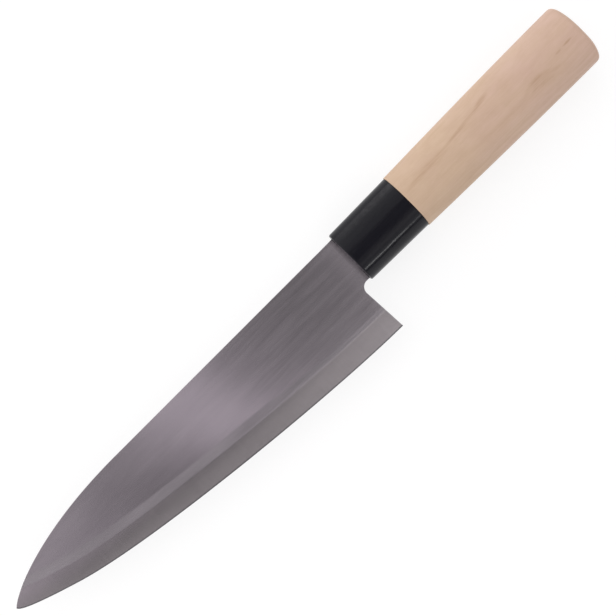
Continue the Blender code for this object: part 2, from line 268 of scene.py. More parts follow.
def grind_rows(share, depth):
    """Rows across one side from spine to edge, as (distance from the edge, half thickness)."""
    bevel = blend(*BEVEL_WIDTHS, share)
    eased = bevel + blend(*BLEND_WIDTHS, share)
    flat = blend(PLATE_THICKNESS, TIP_THICKNESS, share) / 2
    widths = (0, EDGE_BEVEL_WIDTH, bevel, eased)
    halves = (0, EDGE_BEVEL_THICKNESS / 2, flat - BLEND_RELIEF, flat)
    grinds = ((0, EDGE_BEVEL_WIDTH, EDGE_BEVEL_STRIPS), (EDGE_BEVEL_WIDTH, bevel, BEVEL_STRIPS),
              (bevel, eased, BLEND_STRIPS), (eased, max(depth, eased), FLAT_STRIPS))
    places = [0]
    for start, end, strips in grinds:
        places += [blend(start, end, (i + 1) / strips) for i in range(strips)]
    places = [min(place, depth) for place in reversed(places)]
    return [(place, float(np.interp(place, widths, halves)) + crown_of(place, bevel)) for place in places]


def rib(x):
    """One cross-section of the blade's side from spine to edge."""
    share = min(1.0, max(0.0, (LAST_RIB_X - x) / (LAST_RIB_X - TIP_X)))
    edge = height_of(EDGE, x)
    stretch = sqrt(1 + slope_of(EDGE, x) ** 2)
    rows = grind_rows(share, (height_of(SPINE, x) - edge) / stretch)
    return [(x, edge + place * stretch, half, place) for place, half in rows]


def heel_rib():
    """Where the grinds end on the heel's back edge, from the flat down to the corner."""
    rows = grind_rows(0, BEVEL_WIDTHS[0] + BLEND_WIDTHS[0])[FLAT_STRIPS:]
    return [(HEEL_X - place * sin(HEEL_LEAN), HEEL_Y + place * cos(HEEL_LEAN), half, place)
            for place, half in rows]


def rib_places():
    falling = [x for x, y in SPINE[:0:-1]]
    step = (LAST_RIB_X + SPINE_STRAIGHT) / STRAIGHT_SPINE_RIBS
    return falling + [-SPINE_STRAIGHT + i * step for i in range(STRAIGHT_SPINE_RIBS + 1)]


# The blade's mesh.

def add_row(bm, side, points):
    """New corners on one side of the blade, each of which knows its distance from the edge."""
    from_edge = bm.verts.layers.float["from_edge"]
    row = []
    for x, y, half, place in points:
        row.append(bm.verts.new((x, y, side * half)))
        row[-1][from_edge] = place
    return row


def finish_of_strip(j):
    """Which finish a strip has: 0 the flat and its soft facet, 1 the bevel, 2 the fine edge bevel."""
    return (j >= BEVEL_ROW) + (j >= EDGE_BEVEL_ROW)


def skin_strips(bm, front, rear, first=0):
    """Skin two rows from a strip of the front row on, where the rear row starts."""
    for j in range(first, EDGE_ROW):
        face = bm.faces.new((front[j], rear[j - first], rear[j - first + 1], front[j + 1]))
        face.material_index = finish_of_strip(j)


def mark_crisp(bm, line):
    for a, b in zip(line, line[1:]):
        edge = bm.edges.get((a, b))
        if edge:
            edge.smooth = False


def blade_side(bm, side):
    """One side of the blade. Returns its rim from the tip round the tang to the heel corner."""
    rows = [add_row(bm, side, rib(x)) for x in rib_places()]
    for front, rear in zip(rows, rows[1:]):
        skin_strips(bm, front, rear)
    heel = add_row(bm, side, heel_rib())
    last = rows[-1]
    skin_strips(bm, last, heel, FLAT_STRIPS)

    # The flat runs on through the neck into the tang.
    outline = [(0, SPINE_Y)] + tang_outline() + [(0, NECK_Y)] + choil_outline()
    flat = add_row(bm, side, [(x, y, PLATE_THICKNESS / 2, SPINE_Y - HEEL_Y) for x, y in outline])
    bm.faces.new([last[0]] + flat + [heel[0]] + last[FLAT_STRIPS:0:-1])
    for j in (EDGE_BEVEL_ROW, EDGE_ROW):
        mark_crisp(bm, [row[j] for row in rows] + [heel[j - FLAT_STRIPS]])
    return [row[0] for row in rows] + flat + heel


def close_rim(bm, upper, lower):
    """Join both sides along their rims, whose edges are rounded less where the steel is thin."""
    eased = bm.edges.layers.float.new("bevel_weight_edge")
    for i in range(len(upper) - 1):
        bm.faces.new((upper[i], upper[i + 1], lower[i + 1], lower[i]))
        for rim in (upper, lower):
            edge = bm.edges.get((rim[i], rim[i + 1]))
            thin = min(abs(rim[i].co.z), abs(rim[i + 1].co.z))
            edge[eased] = min(1.0, thin / FULLY_EASED_FROM)


def map_along(bm):
    """A plain map from above, so that the steel's sheen knows which way the knife runs."""
    layer = bm.loops.layers.uv.new("along_knife")
    for face in bm.faces:
        for loop in face.loops:
            loop[layer].uv = loop.vert.co.xy


def ease_corners(blade):
    corners = blade.modifiers.new("eased_corners", "BEVEL")
    corners.limit_method = "WEIGHT"
    corners.width = EASED_CORNER
    corners.segments = CORNER_SEGMENTS
    corners.use_clamp_overlap = False
    corners.harden_normals = True


def make_blade(finishes):
    bm = bmesh.new()
    bm.verts.layers.float.new("from_edge")
    upper = blade_side(bm, 1)
    lower = blade_side(bm, -1)
    close_rim(bm, upper, lower)
    bmesh.ops.remove_doubles(bm, verts=bm.verts, dist=SAME_PLACE)
    map_along(bm)
    blade = new_piece("blade_steel", bm, finishes[0])
    for finish in finishes[1:]:
        blade.data.materials.append(finish)
    ease_corners(blade)
    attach(blade, "root")
    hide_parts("blade")


# The handle's oval section, which the ferrule shares.

def section(depth, thickness):
    """An oval with a soft ridge on its upper side, as (y, z) points all the way round."""
    points = []
    for i in range(SECTION_POINTS):
        turn = 2 * pi * i / SECTION_POINTS - pi
        oval = 1 / sqrt((2 * cos(turn) / thickness) ** 2 + (2 * sin(turn) / depth) ** 2)
        away = sqrt((turn - RIDGE_TURN) ** 2 + RIDGE_SOFTNESS ** 2)
        radius = oval + RIDGE_RISE * max(0.0, 1 - away / RIDGE_SPREAD) ** 2
        points.append((-radius * sin(turn), radius * cos(turn)))
    return points


def ring(x, depth, thickness):
    return [(x, y, z) for y, z in section(depth, thickness)]


def ferrule_section(x, inset):
    """Depth and thickness of the ferrule, less an inset all round."""
    share = x / FERRULE_LENGTH
    depth = blend(FERRULE_FRONT_DEPTH, FERRULE_REAR_DEPTH, share)
    thickness = blend(FERRULE_FRONT_THICKNESS, FERRULE_REAR_THICKNESS, share)
    return depth - 2 * inset, thickness - 2 * inset


def cut(piece, bm):
    """Subtract a closed cutter and keep only the result."""
    bmesh.ops.recalc_face_normals(bm, faces=bm.faces)
    mesh = bpy.data.meshes.new("cutter")
    bm.to_mesh(mesh)
    bm.free()
    cutter = bpy.data.objects.new("cutter", mesh)
    cutter.location = KNIFE
    bpy.context.scene.collection.objects.link(cutter)
    boolean = piece.modifiers.new("cut", "BOOLEAN")
    boolean.operation = "DIFFERENCE"
    boolean.solver = "EXACT"
    boolean.object = cutter
    bpy.context.view_layer.update()
    result = bpy.data.meshes.new_from_object(piece.evaluated_get(bpy.context.evaluated_depsgraph_get()))
    piece.modifiers.remove(boolean)
    piece.data = result
    bpy.data.objects.remove(cutter)


def shade_crisply(piece, crease):
    """Keep edges from the crease angle on crisp, and a rounding's shading off the broad faces beside it."""
    piece.data.set_sharp_from_angle(angle=crease)
    normals = piece.modifiers.new("broad_faces", "WEIGHTED_NORMAL")
    normals.keep_sharp = True


# The ferrule.

def rounded_rings(edge_x, radius, into):
    """Rings that round the ferrule off at an end face, from the face inwards."""
    rings = []
    for turn in np.linspace(0, pi / 2, FERRULE_ROUND_STEPS):
        x = edge_x + into * radius * (1 - cos(turn))
        rings.append(ring(x, *ferrule_section(x, radius * (1 - sin(turn)))))
    return rings


def ferrule_rings():
    """From the front face over the outside to the rear, and back along the inside."""
    rings = rounded_rings(0, FERRULE_FRONT_ROUND, 1)
    middle = np.linspace(FERRULE_FRONT_ROUND, FERRULE_LENGTH - FERRULE_REAR_ROUND, FERRULE_STEPS)[1:-1]
    rings += [ring(x, *ferrule_section(x, 0)) for x in middle]
    rings += rounded_rings(FERRULE_LENGTH, FERRULE_REAR_ROUND, -1)[::-1]
    rings += [ring(x, *ferrule_section(x, FERRULE_WALL)) for x in (FERRULE_LENGTH, FERRULE_FACE)]
    return rings


def cut_tang_slot(ferrule):
    """The slot in the ferrule's front face, with a gap round the tang."""
    halves = (2 * FERRULE_FACE, TANG_ROOT_DEPTH / 2 + FIT_GAP, PLATE_THICKNESS / 2 + FIT_GAP)
    slot = bmesh.new()
    for vert in bmesh.ops.create_cube(slot, size=2)["verts"]:
        vert.co = [place * half for place, half in zip(vert.co, halves)]
    cut(ferrule, slot)


def make_ferrule(finish):
    bm = bmesh.new()
    loft(bm, ferrule_rings())
    ferrule = new_piece("ferrule_cap", bm, finish)
    cut_tang_slot(ferrule)
    shade_crisply(ferrule, FERRULE_CREASE)
    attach(ferrule, "root")
    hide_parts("ferrule")
    return ferrule


# The handle.

def handle_section(share):
    """Depth and thickness of the wood, which swells quickly at first and then levels off."""
    swell = sin(share * pi / 2)
    depth, thickness = ferrule_section(FERRULE_LENGTH, -HANDLE_PROUD)
    return blend(depth, BUTT_DEPTH, swell), blend(thickness, BUTT_THICKNESS, swell)


def front_rings():
    """The tenon, and the broken edge where the full wood starts."""
    tenon_inset = FERRULE_WALL + FIT_GAP
    rings = [ring(x, *ferrule_section(x, tenon_inset)) for x in (TENON_X, FERRULE_LENGTH)]
    depth, thickness = handle_section(0)
    for turn in np.linspace(0, pi / 2, FRONT_BREAK_STEPS):
        inset = 2 * FRONT_EDGE_BREAK * (1 - sin(turn))
        x = FERRULE_LENGTH + FRONT_EDGE_BREAK * (1 - cos(turn))
        rings.append(ring(x, depth - inset, thickness - inset))
    return rings


def butt_rings():
    """The rounded end, from the full section down to its flat middle."""
    power = 2 / BUTT_SQUARENESS
    last_turn = acos(BUTT_FLAT_SHARE ** (1 / power))
    full = section(BUTT_DEPTH, BUTT_THICKNESS)
    rings = []
    for turn in np.linspace(0, last_turn, BUTT_STEPS)[1:]:
        x = BUTT_X - BUTT_ROUNDING * (1 - (sin(turn) / sin(last_turn)) ** power)
        scale = cos(turn) ** power
        rings.append([(x, y * scale, z * scale) for y, z in full])
    return rings


def handle_rings():
    rings = front_rings()
    front = FERRULE_LENGTH + FRONT_EDGE_BREAK
    rear = BUTT_X - BUTT_ROUNDING
    for share in np.linspace(0, 1, HANDLE_STEPS)[1:]:
        rings.append(ring(blend(front, rear, share), *handle_section(share)))
    return rings + butt_rings()


def slot_bar(bm, start, end, depth, width):
    """A bar along x with flat sides and round ends in its section."""
    radius = width / 2
    middle = depth / 2 - radius
    outline = []
    for turned, centre in ((0, middle), (pi, -middle)):
        for turn in np.linspace(turned, turned + pi, BORE_END_POINTS):
            outline.append((centre + radius * sin(turn), radius * cos(turn)))
    loft(bm, [[(x, y, z) for y, z in outline] for x in (start, end)])


def cut_bore(handle):
    """The bore for the tang in its bedding, with a gap round the bedding."""
    around = 2 * (2 * FIT_GAP + BEDDING_WALL)
    bore = bmesh.new()
    slot_bar(bore, TENON_X - FIT_GAP, TANG_END_X + BEDDING_BEYOND_TANG + FIT_GAP,
             TANG_ROOT_DEPTH + around, PLATE_THICKNESS + around)
    cut(handle, bore)


def make_handle(finish):
    bm = bmesh.new()
    loft(bm, handle_rings())
    handle = new_piece("handle_wood", bm, finish)
    cut_bore(handle)
    shade_crisply(handle, HANDLE_CREASE)
    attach(handle, "root")
    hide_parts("handle")
    return handle


# Shading.

class Shading:
    """A short way to lay out the nodes of a material, the world or a group."""

    def __init__(self, tree):
        self.tree = tree

    def add(self, kind, **settings):
        node = self.tree.nodes.new(kind)
        for name, value in settings.items():
            setattr(node, name, value)
        return node

    def give(self, sockets, values):
        """Link each socket to another node's output, or set it to a plain value."""
        for socket, value in zip(sockets, values):
            if isinstance(value, bpy.types.NodeSocket):
                self.tree.links.new(value, socket)
            else:
                socket.default_value = value

    def set(self, node, **values):
        self.give([node.inputs[name.replace("_", " ")] for name in values], values.values())
        return node

    def math(self, operation, *values):
        node = self.add("ShaderNodeMath", operation=operation)
        self.give(node.inputs, values)
        return node.outputs[0]

    def total(self, first, *others):
        for value in others:
            first = self.math("ADD", first, value)
        return first

    def product(self, first, *others):
        for value in others:
            first = self.math("MULTIPLY", first, value)
        return first

    def ramp(self, value, low, high, start=0.0, end=1.0, smooth=True):
        """Maps low..high to start..end, held past both."""
        node = self.add("ShaderNodeMapRange", interpolation_type="SMOOTHSTEP" if smooth else "LINEAR")
        self.set(node, Value=value, From_Min=low, From_Max=high, To_Min=start, To_Max=end)
        return node.outputs["Result"]

    def mix_colour(self, share, first, second):
        node = self.add("ShaderNodeMix", data_type="RGBA")
        self.give(node.inputs[:1] + node.inputs[6:8], (share, first, second))
        return node.outputs[2]

    def mix_number(self, share, first, second):
        node = self.add("ShaderNodeMix")
        self.give(node.inputs[:1] + node.inputs[2:4], (share, first, second))
        return node.outputs[0]

    def parts(self, vector):
        node = self.set(self.add("ShaderNodeSeparateXYZ"), Vector=vector)
        return node.outputs[0], node.outputs[1], node.outputs[2]

    def vector(self, x, y, z):
        return self.set(self.add("ShaderNodeCombineXYZ"), X=x, Y=y, Z=z).outputs[0]

    def length(self, x, y, z):
        node = self.add("ShaderNodeVectorMath", operation="LENGTH")
        self.give(node.inputs, [self.vector(x, y, z)])
        return node.outputs["Value"]

    def noise(self, vector, detail=2.0, roughness=0.5):
        node = self.add("ShaderNodeTexNoise")
        self.set(node, Vector=vector, Scale=1.0, Detail=detail, Roughness=roughness)
        return node.outputs["Fac"]


def colour(r, g, b):
    return (r, g, b, 1.0)


WHITE = colour(1.0, 1.0, 1.0)
MIDDLE = 0.5                    # of noise, of a tone between its darkest and its lightest, and of a ramp


def make_group(name, inputs, outputs):
    """An empty node group whose sockets are numbers. Returns what it is given and where its results go."""
    tree = bpy.data.node_groups.new(name, "ShaderNodeTree")
    for in_out, labels in (("INPUT", inputs), ("OUTPUT", outputs)):
        for label in labels:
            tree.interface.new_socket(label, in_out=in_out, socket_type="NodeSocketFloat")
    shading = Shading(tree)
    return shading, shading.add("NodeGroupInput").outputs, shading.add("NodeGroupOutput")


def make_line_group():
    """Fine lines left by grain, grinding or rubbing: long one way, narrow in the two others."""
    shading, given, result = make_group(
        "fine_lines", ("Along", "Across", "Depth", "Length", "Spacing", "Seed", "Contrast"), ("Lines",))
    along = shading.math("DIVIDE", given["Along"], given["Length"])
    across = shading.math("DIVIDE", given["Across"], given["Spacing"])
    depth = shading.math("DIVIDE", given["Depth"], given["Spacing"])
    place = shading.vector(along, across, shading.total(depth, given["Seed"]))
    lines = shading.math("SUBTRACT", shading.noise(place, detail=3.0, roughness=0.6), MIDDLE)
    shading.set(result, Lines=shading.product(lines, given["Contrast"]))
    return shading.tree


def marks_like(shading, lines, look, along, across, depth=0.0):
    """Lines or clouds, which a look gives as (length, spacing, seed, contrast)."""
    length, spacing, seed, contrast = look
    node = shading.add("ShaderNodeGroup", node_tree=lines)
    shading.set(node, Along=along, Across=across, Depth=depth)
    shading.set(node, Length=length, Spacing=spacing, Seed=seed, Contrast=contrast)
    return node.outputs["Lines"]


def empty_material(name):
    material = bpy.data.materials.new(name)
    material.use_nodes = True
    material.node_tree.nodes.clear()
    shading = Shading(material.node_tree)
    return material, shading, shading.add("ShaderNodeOutputMaterial")


def new_material(name):
    """A material with one shader. The place on it is in the knife's axes."""
    material, shading, output = empty_material(name)
    shader = shading.add("ShaderNodeBsdfPrincipled")
    shading.set(output, Surface=shader.outputs[0])
    place = shading.parts(shading.add("ShaderNodeTexCoord").outputs["Object"])
    return material, shading, shader, place


def add_bump(shading, shader, height, distance):
    bump = shading.add("ShaderNodeBump")
    shading.set(bump, Height=height, Distance=distance, Strength=1.0)
    shading.set(shader, Normal=bump.outputs[0])


# Steel, as the colours of its darkest and lightest marks.
FLAT_STEEL = (colour(0.265, 0.252, 0.263), colour(0.632, 0.601, 0.627))
GROUND_STEEL = (colour(0.264, 0.254, 0.257), colour(0.604, 0.581, 0.588))
# The honed edge is painted far darker than steel is: a painted dark line along the edge.
HONED_STEEL_PAINTED_DARK = (colour(0.10, 0.095, 0.10), colour(0.18, 0.170, 0.18))
FLAT_ROUGHNESS = (0.18, 0.24)   # on the flat and on its facet
GROUND_ROUGHNESS = 0.19
HONED_ROUGHNESS = 0.24
ROUGHER_BY_MARKS = 0.04
FLAT_SHEEN = (0.9, 0.25)        # how much it is stretched, and its turn
GROUND_SHEEN = (0.8, 0.0)
SCRATCH_DEPTH = 0.000002
TWIST = 0.32                    # how unevenly the flat lies, per metre
TRUE_X = -0.08                  # where along the blade it lies true

# Marks in the steel, as (length, spacing, seed, contrast).
FLAT_LINES = (0.030, 0.00020, 1.0, 0.05)
FLAT_STREAKS = (0.026, 0.0017, 4.0, 0.45)
FLAT_CLOUD = (0.030, 0.008, 6.0, 0.3)
GROUND_STREAKS = (0.012, 0.0009, 7.0, 0.15)
GROUND_LINES = (0.006, 0.00020, 9.0, 0.15)
GROUND_CLOUD = (0.012, 0.006, 8.0, 0.25)
HONED_LINES = (0.002, 0.0003, 11.0, 0.6)

# The soft facet between the flat and the bevel.
FACET_FADE_IN = 0.0010          # to both sides of the bevel's line
FACET_FADE_OUT = 0.0007         # to both sides of the facet's upper end
FACET_WIDTH = (-0.075, -0.010, 0.0038, 0.0010)      # from and to which x, and its widths there

# Changes along the blade, as (from x, to x, before, after). The two halves also change across it, by y.
# Apart from how strongly the streaks show, these are painted light and painted shade in the steel's tone.
STREAKS_SHOW = (-0.075, -0.045, 0.25, 1.0)
HEEL_HALF = (-0.058, -0.042)
# The heel half's painted light by the bevel.
HEEL_HALF_PAINTED_LIGHT = (*HEEL_HALF, 0.0, 0.13)
HEEL_HALF_ACROSS = (-0.018, -0.004, 1.0, 0.0)       # by the bevel only
# The tip half's painted shade by the bevel and painted light by the spine.
TIP_HALF_STARTS = (-0.162, -0.142)
TIP_HALF_ENDS = (-0.100, -0.078, 0.08, 0.0)
TIP_HALF_ACROSS = (-0.014, 0.008, -1.0, 1.0)        # darker by the bevel, lighter by the spine
# Painted shade on the facet, in three steps that add up: darker towards the heel and at the tip.
FACET_PAINTED_SHADE = ((-0.095, -0.070, -0.04, 0.24), (-0.150, -0.120, 0.17, 0.0), (*HEEL_HALF, 0.0, 0.12))
# Painted light on the neck, and a painted shadow on it just by the ferrule.
NECK_PAINTED_LIGHT = (-0.0090, -0.0030, 0.0, 0.11)
BY_FERRULE_PAINTED_SHADOW = (-0.0022, -0.0005, 0.0, -0.34)
# Painted light and painted shade along the bevel's line, on the flat and on the bevel, and painted light at
# the bevel's tip.
LINE_CHANGES = (-0.10, -0.03)
FLAT_PAINTED_AT_LINE = (*LINE_CHANGES, -0.05, 0.12)
GROUND_PAINTED_AT_LINE = (*LINE_CHANGES, -0.12, 0.76)
GROUND_TIP_PAINTED_LIGHT = (-0.178, -0.156, 0.24, 0.0)
OFF_LINE = (0.5, 1.0, 1.0, 0.0)         # how the flat's change at the bevel's line fades out


def make_facet_group():
    """The soft facet, which fades in over the bevel's line and out into the flat."""
    shading, given, result = make_group("soft_facet", ("Along", "From Edge"), ("Facet", "Past Line"))
    line = shading.ramp(given["Along"], TIP_X, LAST_RIB_X, *BEVEL_WIDTHS[::-1], smooth=False)
    width = shading.ramp(given["Along"], *FACET_WIDTH)
    past_line = shading.math("SUBTRACT", given["From Edge"], line)
    past_end = shading.math("SUBTRACT", past_line, width)
    fade_in = shading.ramp(past_line, -FACET_FADE_IN, FACET_FADE_IN)
    fade_out = shading.ramp(past_end, -FACET_FADE_OUT, FACET_FADE_OUT, 1.0, 0.0)
    shading.set(result, Facet=shading.product(fade_in, fade_out), Past_Line=fade_in)
    return shading.tree


def facet_of(shading, facets, along):
    from_edge = shading.add("ShaderNodeAttribute", attribute_name="from_edge").outputs["Fac"]
    node = shading.add("ShaderNodeGroup", node_tree=facets)
    shading.set(node, Along=along, From_Edge=from_edge)
    return node.outputs["Facet"], node.outputs["Past Line"]


def shade_steel(shading, shader, marks, roughness, tones, height):
    """Steel whose marks change its tone, roughness and surface."""
    tone = shading.total(marks, MIDDLE)
    shading.set(shader, Base_Color=shading.mix_colour(tone, *tones), Metallic=1.0)
    shading.set(shader, Roughness=shading.total(shading.product(marks, ROUGHER_BY_MARKS), roughness))
    add_bump(shading, shader, height, 1.0)


def run_sheen_along(shading, shader, amount, turn):
    """Stretch the sheen across the grinding lines."""
    tangent = shading.add("ShaderNodeTangent", direction_type="UV_MAP", uv_map="along_knife")
    shading.set(shader, Anisotropic=amount, Anisotropic_Rotation=turn, Tangent=tangent.outputs[0])


def flat_changes(shading, x, y, past_line):
    """Painted light and painted shade over the flat: its tip half, its heel half, its neck and the bevel's
    line.
    """
    tip_half_painted_shade_and_light = shading.product(shading.ramp(x, *TIP_HALF_STARTS), shading.ramp(x, *TIP_HALF_ENDS),
                               shading.ramp(y, *TIP_HALF_ACROSS))
    heel_half_painted_light = shading.product(shading.ramp(x, *HEEL_HALF_PAINTED_LIGHT), shading.ramp(y, *HEEL_HALF_ACROSS))
    # Painted light on the neck and a painted shadow by the ferrule.
    neck = (shading.ramp(x, *NECK_PAINTED_LIGHT), shading.ramp(x, *BY_FERRULE_PAINTED_SHADOW))
    painted_at_line = shading.product(shading.ramp(past_line, *OFF_LINE), shading.ramp(x, *FLAT_PAINTED_AT_LINE))
    return (tip_half_painted_shade_and_light, heel_half_painted_light, *neck, painted_at_line)


def flat_finish(lines, facets):
    """Satin steel, ground lengthwise in lines that show more towards the heel, rougher on its facet. Its
    tone also carries painted shade and painted light.
    """
    material, shading, shader, (x, y, _) = new_material("blade_flat_satin")
    fine = marks_like(shading, lines, FLAT_LINES, x, y)
    streaks = marks_like(shading, lines, FLAT_STREAKS, x, y)
    cloud = marks_like(shading, lines, FLAT_CLOUD, x, y)
    marks = shading.total(fine, shading.product(streaks, shading.ramp(x, *STREAKS_SHOW)), cloud)
    # The flat isn't quite true, which slants what it mirrors.
    bend = shading.product(shading.total(x, -TRUE_X), y, -TWIST)
    height = shading.total(shading.product(marks, SCRATCH_DEPTH), bend)
    facet, past_line = facet_of(shading, facets, x)
    # The facet is painted darker, as painted shade.
    darker = shading.total(*[shading.ramp(x, *change) for change in FACET_PAINTED_SHADE])
    marks = shading.math("SUBTRACT", marks, shading.product(facet, darker))
    # Adds the flat's painted light and painted shade.
    marks = shading.total(marks, *flat_changes(shading, x, y, past_line))
    shade_steel(shading, shader, marks, shading.ramp(facet, 0, 1, *FLAT_ROUGHNESS), FLAT_STEEL, height)
    run_sheen_along(shading, shader, *FLAT_SHEEN)
    return material


def bevel_finish(lines, facets):
    """Ground bevel with faint cross lines, painted light and shade along the facet, painted light at the
    tip.
    """
    material, shading, shader, (x, y, _) = new_material("blade_bevel_ground")
    streaks = marks_like(shading, lines, GROUND_STREAKS, y, x)
    fine = marks_like(shading, lines, GROUND_LINES, y, x)
    cloud = marks_like(shading, lines, GROUND_CLOUD, x, y)
    marks = shading.total(streaks, fine, cloud)
    height = shading.product(marks, SCRATCH_DEPTH)
    _, past_line = facet_of(shading, facets, x)
    # Painted light along the facet towards the heel, a little painted shade there towards the tip, and
    # painted light at the tip.
    painted_at_line = shading.product(past_line, shading.ramp(x, *GROUND_PAINTED_AT_LINE))
    lighter = shading.total(painted_at_line, shading.ramp(x, *GROUND_TIP_PAINTED_LIGHT))
    shade_steel(shading, shader, shading.total(marks, lighter), GROUND_ROUGHNESS, GROUND_STEEL, height)
    run_sheen_along(shading, shader, *GROUND_SHEEN)
    return material


def edge_finish(lines):
    """The fine bevel that carries the edge, its steel painted dark as a painted dark line along the edge."""
    material, shading, shader, (x, y, _) = new_material("blade_edge_honed")
    marks = marks_like(shading, lines, HONED_LINES, y, x)
    shade_steel(shading, shader, marks, HONED_ROUGHNESS, HONED_STEEL_PAINTED_DARK, shading.product(marks, SCRATCH_DEPTH))
    return material


# Plastic, as its colours where it is untouched and where it is rubbed.
BLACK = (colour(0.006, 0.006, 0.009), colour(0.011, 0.011, 0.0145))
BLACK_SPECULAR = 0.17
BLACK_ROUGHNESS = 0.16
ROUGHER_BY_RUBBING = 0.25
RUBBED = (0.018, 0.0005, 3.0, 1.0)      # length, spacing, seed and contrast
WAVER = (0.009, 0.004, 13.0, 1.0)
RUB_DEPTH = 0.000003
WAVER_DEPTH = 0.00012


def plastic_finish(lines):
    """Black moulded plastic: a soft gloss that wavers a little, rubbed faintly lengthwise."""
    material, shading, shader, place = new_material("ferrule_black")
    rubbed = marks_like(shading, lines, RUBBED, *place)
    waver = marks_like(shading, lines, WAVER, *place)
    tone = shading.mix_colour(shading.total(rubbed, MIDDLE), *BLACK)
    shading.set(shader, Base_Color=tone, Specular_IOR_Level=BLACK_SPECULAR)
    roughness = shading.total(shading.product(rubbed, ROUGHER_BY_RUBBING), BLACK_ROUGHNESS)
    shading.set(shader, Roughness=roughness)
    height = shading.total(shading.product(rubbed, RUB_DEPTH), shading.product(waver, WAVER_DEPTH))
    add_bump(shading, shader, height, 1.0)
    return material


# Wood. Its grain is given as (length, spacing, seed, contrast).
WOOD_YELLOW = colour(0.592, 0.429, 0.301)
WOOD_PINK = colour(0.598, 0.418, 0.329)
WOOD_DARK = colour(0.435, 0.277, 0.174)
PINKER = (-0.1, 1.0)            # at the ferrule and at the butt
FIBRES = (0.012, 0.0004, 5.0, 0.7)
RING_BEND = (0.030, 0.012, 17.0, 0.006)
RINGS = (0.060, 0.0018, 21.0, 1.0)
RING_DEPTH = 0.1                # how much the rings change with depth, next to their change across
MOTTLE = (0.007, 0.0035, 31.0, 0.5)
WOOD_CLOUD = (0.020, 0.010, 27.0, 1.6)
FIBRES_DARKEN = 0.5
RINGS_DARKEN = 0.7
WOOD_DARKNESS = 0.16            # of plain wood, from 0 for the ground's colour to 1 for the dark one
END_GRAIN_DARKER = 0.14
END_GRAIN_FULL = 0.0002         # short of the butt's end
WOOD_ROUGHNESS = 0.56
ROUGHER_BY_FIBRES = 0.2
GRAIN_DEPTH = 0.00003
PITH = (-0.045, -0.060)         # y and z of the tree's heart, which the growth rings bend round

# Marks in the upper side of the wood: place along, place across, half length, half width, turn, strength.
WOOD_MARKS = ((0.0420, 0.0032, 0.0125, 0.0013, radians(5), 0.36),
              (0.0610, 0.0049, 0.0140, 0.0008, radians(6), 0.42),
              (0.0755, 0.0070, 0.0052, 0.0012, radians(11), 0.50),
              (0.0978, -0.0032, 0.0075, 0.0026, radians(-3), 0.34),
              (0.0960, -0.0019, 0.0034, 0.0010, radians(4), 0.18),
              (0.1037, -0.0042, 0.0028, 0.0009, radians(-8), 0.28),
              (0.0933, -0.0042, 0.0028, 0.0009, radians(12), 0.28),
              (0.1139, -0.0003, 0.0026, 0.0006, radians(2), 0.75),
              (0.1088, -0.0006, 0.0018, 0.0005, radians(2), 0.40))
MARK_FADES = (0.2, 1.2)         # shares of its half length and half width
UPPER_SIDE = (0.002, 0.006)     # heights between which the marks come in
RAGGED = (-0.12, 0.08, 0.55, 1.0)       # how the fibres break the marks up


def wood_mark(shading, x, y, mark):
    """A soft-edged streak or fleck, 1 in its middle times its strength."""
    along, across, half_length, half_width, turn, strength = mark
    dx = shading.math("SUBTRACT", x, along)
    dy = shading.math("SUBTRACT", y, across)
    run = shading.total(shading.product(dx, cos(turn)), shading.product(dy, sin(turn)))
    off = shading.total(shading.product(dy, cos(turn)), shading.product(dx, -sin(turn)))
    away = shading.length(shading.math("DIVIDE", run, half_length),
                          shading.math("DIVIDE", off, half_width), 0.0)
    return shading.ramp(away, *MARK_FADES, strength, 0.0)


def growth_rings(shading, lines, x, y, z):
    bend = marks_like(shading, lines, RING_BEND, x, y, z)
    from_pith = shading.length(0.0, shading.math("SUBTRACT", y, PITH[0]),
                               shading.math("SUBTRACT", z, PITH[1]))
    across = shading.total(from_pith, bend)
    return marks_like(shading, lines, RINGS, x, across, shading.product(z, RING_DEPTH))


def wood_darkness(shading, x, y, z, fibres, grain):
    """How dark the wood is, from its grain, its marks and the end grain at the butt."""
    upper = shading.ramp(z, *UPPER_SIDE)
    ragged = shading.ramp(fibres, *RAGGED)
    marks = [shading.product(wood_mark(shading, x, y, mark), ragged, upper) for mark in WOOD_MARKS]
    end_grain = shading.ramp(x, BUTT_X - BUTT_ROUNDING, BUTT_X - END_GRAIN_FULL, 0.0, END_GRAIN_DARKER)
    return shading.ramp(shading.total(grain, *marks, end_grain), 0, 1, smooth=False)


def wood_finish(lines):
    """Pale magnolia: quiet grain along the handle, yellower by the ferrule and pinker at the butt."""
    material, shading, shader, (x, y, z) = new_material("handle_magnolia")
    fibres = marks_like(shading, lines, FIBRES, x, y, z)
    mottle = marks_like(shading, lines, MOTTLE, x, y, z)
    cloud = marks_like(shading, lines, WOOD_CLOUD, x, y, z)
    rings = growth_rings(shading, lines, x, y, z)
    pinker = shading.total(shading.ramp(x, FERRULE_LENGTH, BUTT_X, *PINKER, smooth=False), cloud)
    ground = shading.mix_colour(shading.ramp(pinker, 0, 1, smooth=False), WOOD_YELLOW, WOOD_PINK)
    grain = shading.total(shading.product(fibres, FIBRES_DARKEN), shading.product(rings, RINGS_DARKEN),
                          mottle, WOOD_DARKNESS)
    dark = wood_darkness(shading, x, y, z, fibres, grain)
    shading.set(shader, Base_Color=shading.mix_colour(dark, ground, WOOD_DARK))
    roughness = shading.total(shading.product(fibres, ROUGHER_BY_FIBRES), WOOD_ROUGHNESS)
    shading.set(shader, Roughness=roughness)
    add_bump(shading, shader, shading.total(fibres, rings), GRAIN_DEPTH)
    return material


# Resin, as its dark and light colours.
AMBER = (colour(0.40, 0.28, 0.13), colour(0.50, 0.38, 0.20))
AMBER_CLOUDS = 300              # per metre
AMBER_ROUGHNESS = 0.35
ROUGHER_BY_CLOUD = 0.2


